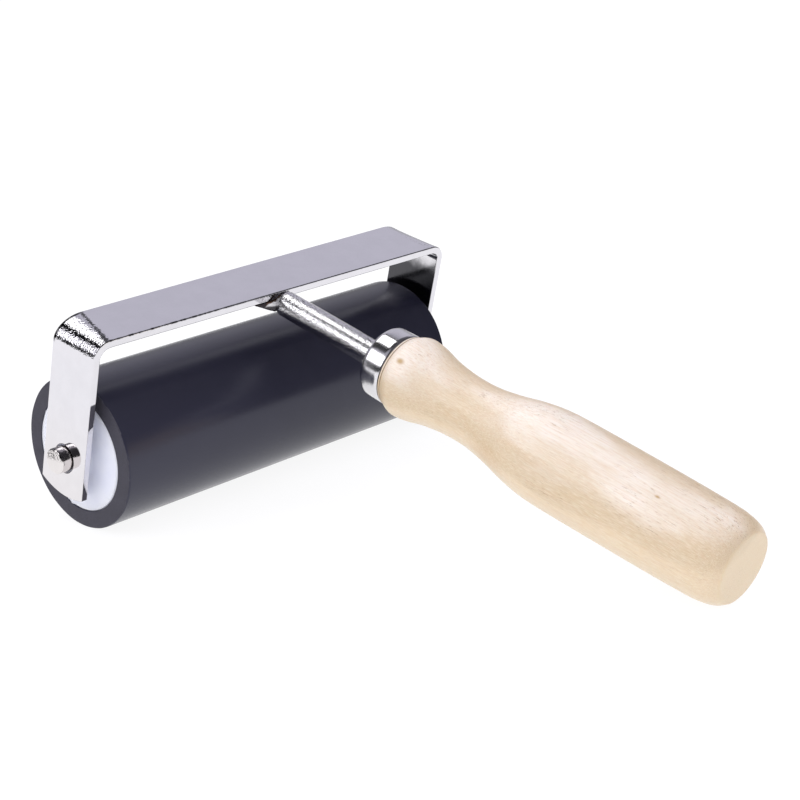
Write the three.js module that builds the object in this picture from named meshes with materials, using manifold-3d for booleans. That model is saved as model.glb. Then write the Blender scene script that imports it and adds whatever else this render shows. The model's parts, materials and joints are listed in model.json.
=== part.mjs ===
// A small hand brayer: a rubber-covered roller that spins on a steel axle between the ears of a bent
// strap yoke, with a round steel stem welded to the strap and a turned wooden handle in a plated ferrule.
// Millimetres, +Z up. X runs along the axle and the handle points towards -Y. The brayer lies on a bench,
// on its roller and the end of its handle. The origin is the middle of its footprint, at bench level.
import * as THREE from "three";
import { mergeVertices } from "three/addons/utils/BufferGeometryUtils.js";
import Module from "manifold-3d";

const wasm = await Module();
wasm.setup();

// Driving dimensions
const ROLLER_LENGTH = 100;
const ROLLER_RADIUS = 17;
const RUBBER_WALL = 4;
const YOKE_SPAN = 108; // over the outside of the ears
const YOKE_HEIGHT = 30.5; // axle to the top face of the strap
const STRAP_WIDTH = 13.5;
const STRAP_THICKNESS = 1.8;
const BEND_RADIUS = 4.1; // outside of the two bends
const EAR_DROP = 7.5; // axle down to the corners of an ear
const EAR_SAG = 1.4; // how far the arc of the ear's end hangs below its corners
const AXLE_RADIUS = 2.85;
const AXLE_STICKOUT = 2.65; // past the outside of each ear
const STEM_RADIUS = 2.95;
const STEM_HEIGHT = 27.4; // axle to the middle of the stem
const FERRULE_START = 38.3; // distances along the stem are counted from the axle
const FERRULE_LENGTH = 5.7;
const FERRULE_RADIUS = 8.1;
const HANDLE_LENGTH = 88.6;

// Clearances
const RUNNING_GAP = 0.35; // axle in the ears
const FIT_GAP = 0.1; // between pieces that are pressed or glued together on one axis
const JOINT_GAP = 0.3; // between pieces that are cut to each other's shape

// Fineness of the round pieces
const ROLLER_SIDES = 72;
const HANDLE_SIDES = 48;
const ROD_SIDES = 32;
const ARC_STEPS = 10;

const RUBBER = { color: 0x1f1e27, roughness: 0.62, metalness: 0 };
const WHITE_PLASTIC = { color: 0xe6e8f2, roughness: 0.45, metalness: 0 };
const PLATED_STEEL = { color: 0xd2d1d6, roughness: 0.16, metalness: 1 };
const WOOD = { color: 0xefdcc4, roughness: 0.42, metalness: 0 };

// Places that follow from the dimensions
const CORE_RADIUS = ROLLER_RADIUS - RUBBER_WALL;
const HALF_ROLLER = ROLLER_LENGTH / 2;
const HALF_SPAN = YOKE_SPAN / 2;
const HALF_WIDTH = STRAP_WIDTH / 2;
const EAR_INSIDE = HALF_SPAN - STRAP_THICKNESS;
const STRAP_UNDERSIDE = YOKE_HEIGHT - STRAP_THICKNESS;
const FERRULE_END = FERRULE_START + FERRULE_LENGTH;

// One named mesh with a material of its own.
function piece(name, geometry, look) {
  const mesh = new THREE.Mesh(geometry, new THREE.MeshStandardMaterial(look));
  mesh.name = name;
  return mesh;
}

// A closed geometry as a manifold solid, for cutting and joining.
function solid(geometry) {
  const bare = geometry.clone();
  bare.deleteAttribute("normal");
  bare.deleteAttribute("uv");
  const merged = mergeVertices(bare, 1e-4);
  const vertProperties = merged.attributes.position.array;
  const triVerts = new Uint32Array(merged.index.array);
  return new wasm.Manifold(new wasm.Mesh({ numProp: 3, vertProperties, triVerts }));
}

// A manifold solid back as a geometry, flat shaded.
function geometryOf(made) {
  const mesh = made.getMesh();
  const indexed = new THREE.BufferGeometry();
  indexed.setAttribute("position", new THREE.BufferAttribute(mesh.vertProperties, 3));
  indexed.setIndex(new THREE.BufferAttribute(mesh.triVerts, 1));
  const flat = indexed.toNonIndexed();
  flat.computeVertexNormals();
  return flat;
}

// A turned piece on the Y axis. Its outline is [distance along -Y, radius], front end first.
function turned(outline, sides) {
  const points = outline.map(([along, radius]) => new THREE.Vector2(radius, -along));
  points.reverse();
  return new THREE.LatheGeometry(points, sides);
}

// The same, lying along the X axis.
function turnedOnX(outline, sides) {
  return turned(outline, sides).rotateZ(Math.PI / 2);
}

// A flat shape drawn in X and Z, given a thickness along Y and centred on the X-Z plane.
function plate(shape, thickness) {
  const options = { depth: thickness, bevelEnabled: false, curveSegments: ARC_STEPS };
  return new THREE.ExtrudeGeometry(shape, options)
    .rotateX(Math.PI / 2)
    .translate(0, thickness / 2, 0);
}

// A quarter circle of outline points about (along, radius), from one angle to another in quarter turns.
function arc(along, radius, size, fromQuarter, toQuarter, steps) {
  return Array.from({ length: steps + 1 }, (_, i) => {
    const angle = (Math.PI / 2) * (fromQuarter + ((toQuarter - fromQuarter) * i) / steps);
    return [along + size * Math.cos(angle), radius + size * Math.sin(angle)];
  });
}

// ---- Roller ----

const TUBE_WALL = 2.2;
const FLANGE_THICKNESS = 2;
const SPIGOT_LENGTH = 12;
const HUB_RADIUS = 4.4;
const HUB_STICKOUT = 1.6; // keeps the rubber off the ears

// Rubber cover, glued on the core, with a softly broken edge at each end.
function rubberSleeve() {
  const edge = 0.5;
  const steps = 3;
  const outline = [
    [-HALF_ROLLER, CORE_RADIUS],
    ...arc(-HALF_ROLLER + edge, ROLLER_RADIUS - edge, edge, 2, 1, steps),
    ...arc(HALF_ROLLER - edge, ROLLER_RADIUS - edge, edge, 1, 0, steps),
    [HALF_ROLLER, CORE_RADIUS],
    [-HALF_ROLLER, CORE_RADIUS],
  ];
  return piece("rubber_sleeve", turnedOnX(outline, ROLLER_SIDES), RUBBER);
}

// Plastic tube that the rubber is glued to.
function coreTube() {
  const outer = CORE_RADIUS - FIT_GAP;
  const inner = outer - TUBE_WALL;
  const half = HALF_ROLLER - FLANGE_THICKNESS - FIT_GAP;
  const outline = [
    [-half, inner],
    [-half, outer],
    [half, outer],
    [half, inner],
    [-half, inner],
  ];
  return piece("core_tube", turnedOnX(outline, ROLLER_SIDES), WHITE_PLASTIC);
}

// Moulded plug in one end of the tube: a flange, a spigot, a hub facing the ear and a bore for the axle.
function endPlug(name, side) {
  const bore = AXLE_RADIUS + FIT_GAP;
  const spigot = CORE_RADIUS - FIT_GAP - TUBE_WALL - FIT_GAP;
  const flange = CORE_RADIUS - FIT_GAP;
  const back = HALF_ROLLER - FLANGE_THICKNESS;
  const outline = [
    [back - SPIGOT_LENGTH, bore],
    [back - SPIGOT_LENGTH, spigot],
    [back, spigot],
    [back, flange],
    [HALF_ROLLER, flange],
    [HALF_ROLLER, HUB_RADIUS],
    [HALF_ROLLER + HUB_STICKOUT, HUB_RADIUS],
    [HALF_ROLLER + HUB_STICKOUT, bore],
    [back - SPIGOT_LENGTH, bore],
  ];
  const mesh = piece(name, turnedOnX(outline, ROLLER_SIDES), WHITE_PLASTIC);
  if (side < 0) mesh.rotation.z = Math.PI;
  return mesh;
}

// Steel axle, pressed in the plugs and turning in the holes of the ears.
function axle() {
  const half = HALF_SPAN + AXLE_STICKOUT;
  const chamfer = 0.35;
  const outline = [
    [-half, 0],
    [-half, AXLE_RADIUS - chamfer],
    [-half + chamfer, AXLE_RADIUS],
    [half - chamfer, AXLE_RADIUS],
    [half, AXLE_RADIUS - chamfer],
    [half, 0],
  ];
  return piece("axle", turnedOnX(outline, ROD_SIDES), PLATED_STEEL);
}

// ---- Yoke ----

// Outline of the bent strap seen along the handle: the outside of the U, then back along its inside.
function strapOutline() {
  const bottom = -EAR_DROP - 2 * EAR_SAG;
  const insideBend = BEND_RADIUS - STRAP_THICKNESS;
  const bendX = HALF_SPAN - BEND_RADIUS;
  const bendZ = YOKE_HEIGHT - BEND_RADIUS;
  const quarter = Math.PI / 2;
  const shape = new THREE.Shape();
  shape.moveTo(HALF_SPAN, bottom);
  shape.lineTo(HALF_SPAN, bendZ);
  shape.absarc(bendX, bendZ, BEND_RADIUS, 0, quarter, false);
  shape.lineTo(-bendX, YOKE_HEIGHT);
  shape.absarc(-bendX, bendZ, BEND_RADIUS, quarter, 2 * quarter, false);
  shape.lineTo(-HALF_SPAN, bottom);
  shape.lineTo(-EAR_INSIDE, bottom);
  shape.lineTo(-EAR_INSIDE, bendZ);
  shape.absarc(-bendX, bendZ, insideBend, 2 * quarter, quarter, true);
  shape.lineTo(bendX, STRAP_UNDERSIDE);
  shape.absarc(bendX, bendZ, insideBend, quarter, 0, true);
  shape.lineTo(EAR_INSIDE, bottom);
  return shape;
}

// The yoke's outline seen along the axle: straight sides, and a shallow arc across the end of the ears.
function earOutline() {
  const sagRadius = (HALF_WIDTH ** 2 + EAR_SAG ** 2) / (2 * EAR_SAG);
  const reach = Math.asin(HALF_WIDTH / sagRadius);
  const down = -Math.PI / 2;
  const above = YOKE_HEIGHT + BEND_RADIUS;
  const shape = new THREE.Shape();
  shape.moveTo(HALF_WIDTH, above);
  shape.lineTo(-HALF_WIDTH, above);
  shape.absarc(0, sagRadius - EAR_DROP - EAR_SAG, sagRadius, down - reach, down + reach, false);
  return shape;
}

// Flat plated steel strap, bent twice, with a hole for the axle in each ear.
function yoke() {
  const overrun = 1; // the cutters run this far past the ears
  const bent = solid(plate(strapOutline(), STRAP_WIDTH));
  const sides = solid(plate(earOutline(), YOKE_SPAN + 2 * overrun).rotateZ(Math.PI / 2));
  const holeRadius = AXLE_RADIUS + RUNNING_GAP;
  const half = HALF_SPAN + overrun;
  const hole = [
    [-half, 0],
    [-half, holeRadius],
    [half, holeRadius],
    [half, 0],
  ];
  const made = bent.intersect(sides).subtract(solid(turnedOnX(hole, ROD_SIDES)));
  return piece("yoke", geometryOf(made), PLATED_STEEL);
}

// ---- Stem and weld ----

const TANG_END = 84; // the stem's hidden end, inside the handle
const STEM_START = HALF_WIDTH + JOINT_GAP;
const WELD_TOE = [9, 0]; // the bead's long toe, towards -X: how far out, and how far below the strap
const WELD_TOE_HOLLOW = [4.15, 0.6]; // where its hollow side bends
const WELD_SHORT_TOE = [4.6, 0]; // the same for the toe towards +X
const WELD_SHORT_HOLLOW = [3.35, 0.8];
const WELD_FOOT = 2.55; // half the width of the bead's lowest edge
const WELD_DEPTH = 3.6; // how far it hangs below the strap's underside
const WELD_BACK = 3.4; // how far it runs back under the strap
const WELD_FRONT = 1.7; // how far it stands in front of the strap

// Round plated steel rod, welded to the strap at one end and driven into the handle at the other.
function stem() {
  const chamfer = 0.6;
  const outline = [
    [STEM_START, 0],
    [STEM_START, STEM_RADIUS],
    [TANG_END - chamfer, STEM_RADIUS],
    [TANG_END, STEM_RADIUS - chamfer],
    [TANG_END, 0],
  ];
  const rod = turned(outline, ROD_SIDES).translate(0, 0, STEM_HEIGHT);
  return piece("stem", rod, PLATED_STEEL);
}

// Fillet of weld metal in the corner between the stem, the strap's front edge and its underside.
function weldBead() {
  const top = STRAP_UNDERSIDE - JOINT_GAP;
  const low = top - WELD_DEPTH;
  const at = ([out, below], side) => [side * out, top - below];
  const shape = new THREE.Shape();
  shape.moveTo(...at(WELD_TOE, -1));
  shape.quadraticCurveTo(...at(WELD_TOE_HOLLOW, -1), -WELD_FOOT, low);
  shape.lineTo(WELD_FOOT, low);
  shape.quadraticCurveTo(...at(WELD_SHORT_HOLLOW, 1), ...at(WELD_SHORT_TOE, 1));
  const depth = WELD_BACK + WELD_FRONT;
  const fillet = plate(shape, depth).translate(0, WELD_BACK - HALF_WIDTH - depth / 2, 0);
  const clear = STEM_RADIUS + JOINT_GAP;
  const socket = [
    [STEM_START - JOINT_GAP, 0],
    [STEM_START - JOINT_GAP, clear],
    [TANG_END, clear],
    [TANG_END, 0],
  ];
  const rod = solid(turned(socket, ROD_SIDES).translate(0, 0, STEM_HEIGHT));
  return piece("weld_bead", geometryOf(solid(fillet).subtract(rod)), PLATED_STEEL);
}

// ---- Ferrule and handle ----

const FERRULE_WALL = 0.8;
const FERRULE_ROUNDING = 1.3;
const ROUNDING_STEPS = 5;
const TENON_RADIUS = FERRULE_RADIUS - FERRULE_WALL - FIT_GAP;
const TENON_START = FERRULE_START + FERRULE_WALL + FIT_GAP;
const SOCKET_CLEARANCE = 0.12;

// Pressed metal cap over the front of the handle, with a rounded front edge and a hole for the stem.
function ferrule() {
  const hole = STEM_RADIUS + JOINT_GAP;
  const inside = FERRULE_RADIUS - FERRULE_WALL;
  const corner = FERRULE_RADIUS - FERRULE_ROUNDING;
  const outline = [
    [FERRULE_START, hole],
    ...arc(FERRULE_START + FERRULE_ROUNDING, corner, FERRULE_ROUNDING, 2, 1, ROUNDING_STEPS),
    [FERRULE_END, FERRULE_RADIUS],
    [FERRULE_END, inside],
    [FERRULE_START + FERRULE_WALL, inside],
    [FERRULE_START + FERRULE_WALL, hole],
    [FERRULE_START, hole],
  ];
  const cap = turned(outline, HANDLE_SIDES).translate(0, 0, STEM_HEIGHT);
  return piece("ferrule", cap, PLATED_STEEL);
}

// Radius of the turned handle at a few distances behind the ferrule: bead, neck, barrel and rounded end.
const HANDLE_STATIONS = [
  [0, 8.1],
  [1.3, 8.85],
  [3.6, 9.2],
  [6.6, 8.8],
  [11, 7.75],
  [17, 7.05],
  [23, 7.1],
  [29, 8],
  [35, 9.3],
  [41, 10.05],
  [50, 10.2],
  [66, 10.1],
  [80, 9.85],
  [84.4, 9.5],
  [87, 8.8],
];
const END_FACE_RADIUS = 7.7;
const HANDLE_STEPS = 32;

// The handle's long outline as a smooth curve through the stations, on to the rim of its end face.
function handleOutline() {
  const stations = [...HANDLE_STATIONS, [HANDLE_LENGTH, END_FACE_RADIUS]];
  const start = FERRULE_END + FIT_GAP;
  const curve = new THREE.SplineCurve(stations.map(([along, radius]) => new THREE.Vector2(along, radius)));
  return curve.getSpacedPoints(HANDLE_STEPS).map((point) => [start + point.x, point.y]);
}

// Turned wooden handle, with a tenon inside the ferrule and a blind hole for the stem's tang.
function handle() {
  const outer = handleOutline();
  const bore = STEM_RADIUS + SOCKET_CLEARANCE;
  const boreEnd = TANG_END + JOINT_GAP;
  const outline = [
    [boreEnd, 0],
    [boreEnd, bore],
    [TENON_START, bore],
    [TENON_START, TENON_RADIUS],
    [outer[0][0], TENON_RADIUS],
    ...outer,
    [outer.at(-1)[0], 0],
  ];
  const wood = turned(outline, HANDLE_SIDES).translate(0, 0, STEM_HEIGHT);
  return piece("handle", wood, WOOD);
}

// ---- Assembly ----

// How far the stem dips below level when the roller and the handle both touch the bench.
function restingDip() {
  const lowest = (dip) =>
    Math.min(
      ...handleOutline().map(
        ([along, radius]) =>
          ROLLER_RADIUS - along * Math.sin(dip) + (STEM_HEIGHT - radius) * Math.cos(dip),
      ),
    );
  const halvings = 40;
  let level = 0;
  let steep = Math.PI / 4;
  for (let i = 0; i < halvings; i += 1) {
    const middle = (level + steep) / 2;
    if (lowest(middle) > 0) level = middle;
    else steep = middle;
  }
  return level;
}

const frame = new THREE.Group();
frame.add(yoke(), weldBead(), stem(), ferrule(), handle());
frame.rotation.x = restingDip();

const roller = new THREE.Group();
roller.add(rubberSleeve(), coreTube(), endPlug("end_plug_left", -1), endPlug("end_plug_right", 1), axle());

const brayer = new THREE.Group();
brayer.add(frame, roller);

// The axle stands one roller radius above the bench, and the footprint is centred on the origin.
const box = new THREE.Box3().setFromObject(brayer, true);
const middle = box.getCenter(new THREE.Vector3());
brayer.position.set(0, -middle.y, ROLLER_RADIUS);

export default brayer;
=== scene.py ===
"""The looks of a rubber brayer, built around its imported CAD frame.

Everything is in metres in the CAD's frame: +Z up, X along the axle, the handle towards -Y.
Outlines are written in millimetres, in one of two local frames that both start at the axle's middle:
the roller's, which is level, and the strap's, which dips with the handle.
"""

import json
import math

import bmesh
import bpy
from mathutils import Matrix, Quaternion, Vector, noise


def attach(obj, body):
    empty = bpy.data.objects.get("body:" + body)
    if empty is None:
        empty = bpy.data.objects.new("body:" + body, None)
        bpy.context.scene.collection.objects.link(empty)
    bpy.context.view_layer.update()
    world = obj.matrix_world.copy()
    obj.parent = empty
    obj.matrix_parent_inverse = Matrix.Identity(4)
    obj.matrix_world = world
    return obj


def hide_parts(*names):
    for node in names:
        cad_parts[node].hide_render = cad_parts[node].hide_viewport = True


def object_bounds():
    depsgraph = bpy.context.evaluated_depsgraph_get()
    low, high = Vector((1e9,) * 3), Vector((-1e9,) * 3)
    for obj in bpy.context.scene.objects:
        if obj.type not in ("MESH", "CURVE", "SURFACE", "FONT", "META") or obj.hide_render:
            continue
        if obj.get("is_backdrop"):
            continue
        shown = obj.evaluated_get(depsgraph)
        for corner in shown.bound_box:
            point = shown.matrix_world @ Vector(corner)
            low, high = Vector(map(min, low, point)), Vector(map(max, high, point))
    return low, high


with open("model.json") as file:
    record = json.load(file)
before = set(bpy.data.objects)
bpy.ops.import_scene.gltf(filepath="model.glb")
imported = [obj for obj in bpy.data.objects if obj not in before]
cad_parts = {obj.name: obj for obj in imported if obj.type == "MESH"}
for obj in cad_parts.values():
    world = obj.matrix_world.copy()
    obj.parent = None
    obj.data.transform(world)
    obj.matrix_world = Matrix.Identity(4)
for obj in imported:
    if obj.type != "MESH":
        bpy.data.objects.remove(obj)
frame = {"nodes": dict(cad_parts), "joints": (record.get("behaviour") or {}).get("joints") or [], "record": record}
cad_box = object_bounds()

MM = 0.001
record = frame["record"]
axle_centre = Vector(frame["joints"][0]["pos_m"])
strap_normal = Vector(next(m["axis"] for m in record["mounts"] if m["name"] == "frame_top"))
dip = math.atan2(-strap_normal.y, strap_normal.z)
ROLLER_PLACE = Matrix.Translation(axle_centre)
STRAP_PLACE = ROLLER_PLACE @ Matrix.Rotation(dip, 4, "X")

# Sizes in millimetres, as in the CAD. Heights, and distances along the handle, count from the axle.
HALF_ROLLER = 50.0
ROLLER_RADIUS = 17.0
CORE_RADIUS = 13.0
HALF_SPAN = 54.0  # to the outside of the ears
STRAP_TOP = 30.5
HALF_WIDTH = 6.75  # of the strap
STRAP_THICKNESS = 1.8
EAR_CORNER = -7.5
EAR_SAG = 1.4  # how far the arc of an ear's end hangs below its corners
HOLE_RADIUS = 3.2  # in the ears, round the axle
AXLE_RADIUS = 2.85
AXLE_END = 56.65
STEM_RADIUS = 2.95
STEM_HEIGHT = 27.4  # of the stem's middle
STEM_START = 7.05
STEM_END = 84.0
FERRULE_START = 38.3
FERRULE_END = 44.0
FERRULE_RADIUS = 8.1
HANDLE_START = FERRULE_END + 0.1  # the wood that shows behind the ferrule
GROOVE = HANDLE_START + 0.75  # a fine turned line round the handle


# ---- Mesh helpers ----


def smoothstep(low, high, value):
    """0 at low, 1 at high and a smooth ramp between them; low may be the larger."""
    t = min(1.0, max(0.0, (value - low) / (high - low)))
    return t * t * (3 - 2 * t)


def ripple(point, scale, seed):
    """Smooth noise from -1 to 1 at a point in millimetres; scale is the size of one lump."""
    return noise.noise(Vector(point) / scale + Vector((seed, seed * 1.7, -seed)))


def build(name, verts, faces, place, materials):
    """A mesh object from points in millimetres in a local frame."""
    mesh = bpy.data.meshes.new(name)
    mesh.from_pydata([Vector(v) * MM for v in verts], [], faces)
    bm = bmesh.new()
    bm.from_mesh(mesh)
    bmesh.ops.recalc_face_normals(bm, faces=bm.faces)
    bm.to_mesh(mesh)
    bm.free()
    for material in materials:
        mesh.materials.append(material)
    obj = bpy.data.objects.new(name, mesh)
    obj.matrix_world = place
    bpy.context.scene.collection.objects.link(obj)
    return obj


def finish_surface(obj, sharp_degrees=40.0):
    """Smooth shading with true flats: sharp where faces meet steeply, normals weighted by area."""
    obj.data.polygons.foreach_set("use_smooth", [True] * len(obj.data.polygons))
    obj.data.set_sharp_from_angle(angle=math.radians(sharp_degrees))
    weighted = obj.modifiers.new("flats", "WEIGHTED_NORMAL")
    weighted.keep_sharp = True
    weighted.weight = 60


def bevel(obj, width, segments, degrees):
    """Rounds the edges where faces meet more steeply than an angle; width in millimetres."""
    made = obj.modifiers.new("edges", "BEVEL")
    made.width = width * MM
    made.segments = segments
    made.limit_method = "ANGLE"
    made.angle_limit = math.radians(degrees)
    made.use_clamp_overlap = True
    made.harden_normals = True


def arc(centre, radius, start, end, steps):
    """Outline points round a centre, between two angles in degrees."""
    points = []
    for i in range(steps + 1):
        angle = math.radians(start + (end - start) * i / steps)
        points.append((centre[0] + radius * math.cos(angle), centre[1] + radius * math.sin(angle)))
    return points


def on_axis(axis, along, radius, angle):
    """A point at a distance along an axis, and at a radius and an angle round it."""
    across, up = radius * math.cos(angle), radius * math.sin(angle)
    if axis == "roller":
        return Vector((along, across, up))
    return Vector((across, -along, STEM_HEIGHT + up))


def turned(name, outline, sides, axis, place, materials, shape=None):
    """A turned piece. The outline is (distance along, radius); a radius of 0 closes it to a point.

    axis is "roller", along +X, or "handle", along -Y at the stem's height. shape(point, along, angle)
    may move each point.
    """
    verts = []
    rings = []
    for along, radius in outline:
        if radius == 0:
            rings.append([len(verts)])
            verts.append(on_axis(axis, along, 0.0, 0.0))
            continue
        ring = []
        for i in range(sides):
            angle = 2 * math.pi * i / sides
            point = on_axis(axis, along, radius, angle)
            ring.append(len(verts))
            verts.append(shape(point, along, angle) if shape else point)
        rings.append(ring)
    faces = []
    closed = rings + [rings[0]] if len(rings[0]) > 1 else rings
    for a, b in zip(closed, closed[1:]):
        for i in range(sides):
            j = (i + 1) % sides
            if len(a) == 1:
                faces.append((a[0], b[i], b[j]))
            elif len(b) == 1:
                faces.append((a[i], b[0], a[j]))
            else:
                faces.append((a[i], b[i], b[j], a[j]))
    return build(name, verts, faces, place, materials)


def stands_for(obj, body, node):
    """The piece replaces a CAD node and moves with its body."""
    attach(obj, body)
    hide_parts(node)


# ---- Materials ----


class Nodes:
    """A node tree with short calls. Sockets and plain values can both be inputs."""

    def __init__(self, tree):
        self.tree = tree
        tree.nodes.clear()

    def add(self, kind, inputs=None, out=0, **settings):
        """A new node's output, chosen by number or name; None for a node that has no outputs."""
        node = self.tree.nodes.new(kind)
        for key, value in settings.items():
            setattr(node, key, value)
        for key, value in (inputs or {}).items():
            if isinstance(value, bpy.types.NodeSocket):
                self.tree.links.new(value, node.inputs[key])
            else:
                node.inputs[key].default_value = value
        return node.outputs[out] if node.outputs else None

    def math(self, operation, a, b=0.0):
        return self.add("ShaderNodeMath", {0: a, 1: b}, operation=operation)

    def plus(self, a, b):
        return self.math("ADD", a, b)

    def minus(self, a, b):
        return self.math("SUBTRACT", a, b)

    def times(self, a, b):
        return self.math("MULTIPLY", a, b)

    def larger(self, a, b):
        return self.math("MAXIMUM", a, b)

    def unsigned(self, value):
        return self.math("ABSOLUTE", value)

    def step(self, value, low, high, to_low=0.0, to_high=1.0):
        """Smooth ramp from to_low, where value is low, to to_high, where it is high."""
        return self.add(
            "ShaderNodeMapRange",
            {"Value": value, "From Min": low, "From Max": high, "To Min": to_low, "To Max": to_high},
            interpolation_type="SMOOTHSTEP",
        )

    def vector(self, operation, a, b=(0, 0, 0), out="Vector"):
        return self.add("ShaderNodeVectorMath", {0: a, 1: b}, out=out, operation=operation)

    def stretch(self, point, factors):
        return self.vector("MULTIPLY", point, factors)

    def scale(self, point, factor):
        return self.add("ShaderNodeVectorMath", {0: point, "Scale": factor}, operation="SCALE")

    def minus_point(self, point, other):
        return self.vector("SUBTRACT", point, other)

    def length(self, point):
        return self.vector("LENGTH", point, out="Value")

    def split(self, point):
        """The three coordinates."""
        return list(self.add("ShaderNodeSeparateXYZ", {0: point}).node.outputs)

    def noise(self, point, scale, detail=3.0, roughness=0.55, distortion=0.0, out=0):
        """Mottling from 0 to 1; scale is about how many lumps there are in a millimetre."""
        return self.add(
            "ShaderNodeTexNoise",
            {
                "Vector": point,
                "Scale": scale,
                "Detail": detail,
                "Roughness": roughness,
                "Distortion": distortion,
            },
            out=out,
        )

    def streaks(self, point, per_mm, *settings, **more):
        """Mottling with its own scale along each axis: long marks where per_mm is small."""
        return self.noise(self.stretch(point, per_mm), 1.0, *settings, **more)

    def mix(self, factor, a, b, blend="MIX"):
        """Colour a where factor is 0 and b where it is 1. Inputs 6 and 7 are the node's colours."""
        return self.add(
            "ShaderNodeMix",
            {0: factor, 6: a, 7: b},
            out=2,
            data_type="RGBA",
            blend_type=blend,
        )

    def bump(self, height, distance_mm, normal=None):
        inputs = {"Height": height, "Distance": distance_mm * MM, "Strength": 1.0}
        if normal is not None:
            inputs["Normal"] = normal
        return self.add("ShaderNodeBump", inputs)


def rgb(r, g, b):
    return (r, g, b, 1.0)


def material(name, draw):
    """draw(nodes, millimetres) returns the inputs of the Principled shader."""
    made = bpy.data.materials.new(name)
    made.use_nodes = True
    nodes = Nodes(made.node_tree)
    in_mm = nodes.scale(nodes.add("ShaderNodeTexCoord", out="Object"), 1 / MM)
    shader = nodes.add("ShaderNodeBsdfPrincipled", draw(nodes, in_mm))
    nodes.add("ShaderNodeOutputMaterial", {"Surface": shader})
    return made


def rubber_side(n, p):
    """Ground rubber: nearly black, with faint grinding rings, fine grain, specks of dust, and paler and bluer
    towards the left end.
    """
    black = rgb(0.014, 0.014, 0.026)
    faded = rgb(0.018, 0.018, 0.032)
    paler_blue = rgb(0.033, 0.033, 0.054)
    dusted = rgb(0.12, 0.12, 0.14)
    pale_start, pale_end, pale_strength = -52.0, 45.0, 0.75
    x, _, _ = n.split(p)
    rings = n.streaks(p, (9.0, 0.35, 0.35), 4.0)
    grain = n.noise(p, 5.0, 3.0, 0.6)
    cloud = n.noise(p, 0.07, 3.0)
    dust = n.step(n.noise(p, 2.6, 2.0, 0.7), 0.72, 0.80)
    colour = n.mix(n.step(cloud, 0.3, 0.7), black, faded)
    # Paler and bluer towards the left end, fading out towards the right
    colour = n.mix(n.step(x, pale_start, pale_end, pale_strength, 0.0), colour, paler_blue)
    colour = n.mix(n.times(dust, 0.10), colour, dusted)
    normal = n.bump(rings, 0.012)
    normal = n.bump(grain, 0.010, normal)
    return {
        "Base Color": colour,
        "Roughness": n.plus(n.step(cloud, 0.3, 0.7, 0.17, 0.22), n.times(grain, 0.06)),
        "Specular IOR Level": 0.46,
        "Specular Tint": rgb(0.90, 0.91, 1.0),
        "Normal": normal,
    }


def rubber_cut(n, p):
    """The roller's cut ends: the same rubber, greyer and rougher, with fine marks round the axis."""
    grey = rgb(0.042, 0.040, 0.056)
    pale = rgb(0.070, 0.068, 0.090)
    blotched = rgb(0.036, 0.035, 0.046)
    radius = n.length(n.stretch(p, (0, 1, 1)))
    marks = n.noise(n.add("ShaderNodeCombineXYZ", {0: radius}), 3.2, 4.0, 0.65)
    grain = n.noise(p, 3.2, 4.0, 0.7)
    blotch = n.noise(p, 0.35, 3.0)
    colour = n.mix(n.step(grain, 0.35, 0.7), grey, pale)
    colour = n.mix(n.step(blotch, 0.35, 0.75, 0.0, 0.4), colour, blotched)
    normal = n.bump(marks, 0.03)
    normal = n.bump(grain, 0.04, normal)
    return {
        "Base Color": colour,
        "Roughness": n.step(grain, 0.3, 0.7, 0.55, 0.72),
        "Specular IOR Level": 0.35,
        "Normal": normal,
    }


def white_plastic(n, p):
    """Milky moulded plastic that lets light through. It also glows faintly, painted light that keeps it bright
    where the strap shades it.
    """
    milky = rgb(0.74, 0.76, 0.88)
    clear = rgb(0.79, 0.81, 0.91)
    speck = rgb(0.45, 0.43, 0.42)
    cloud = n.noise(p, 0.16, 3.0)
    skin = n.noise(p, 4.0, 3.0, 0.6)
    specks = n.step(n.noise(p, 1.7, 2.0, 0.8), 0.74, 0.80)
    colour = n.mix(n.step(cloud, 0.3, 0.7), milky, clear)
    colour = n.mix(n.times(specks, 0.25), colour, speck)
    return {
        "Base Color": colour,
        "Roughness": n.step(skin, 0.3, 0.7, 0.38, 0.50),
        "Subsurface Weight": 0.8,
        "Subsurface Radius": (1.0, 1.0, 1.0),
        "Subsurface Scale": 3.0 * MM,
        # Painted light: a faint glow, though the plastic is no lamp
        "Emission Color": rgb(0.92, 0.95, 1.0),
        "Emission Strength": 0.08,
        "Normal": n.bump(skin, 0.012),
    }


RIPPLE_DEPTH = 0.07


def plated(stretch, line_depth, rough_low, rough_high):
    """Bright plating over drawn steel. stretch squeezes the marks across the drawing direction."""
    grey = rgb(0.755, 0.745, 0.765)
    bright = rgb(0.785, 0.775, 0.795)
    stained = rgb(0.66, 0.62, 0.58)

    def draw(n, p, ripples=None):
        """ripples is the height of the unevenness that a bend or the drawing leaves, from 0 to 1."""
        lines = n.streaks(p, stretch, 4.0, 0.6)
        haze = n.noise(p, 0.22, 4.0, 0.6)
        stain = n.step(n.noise(p, 0.45, 3.0, 0.65), 0.66, 0.82, 0.0, 0.25)
        colour = n.mix(n.step(haze, 0.3, 0.7), grey, bright)
        colour = n.mix(stain, colour, stained)
        dull = n.plus(n.times(lines, 0.5), n.times(haze, 0.5))
        rough = n.step(dull, 0.35, 0.65, rough_low, rough_high)
        normal = n.bump(lines, line_depth)
        if ripples:
            normal = n.bump(ripples, RIPPLE_DEPTH, normal)
        return {"Base Color": colour, "Metallic": 1.0, "Roughness": rough, "Normal": normal}

    return draw


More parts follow.
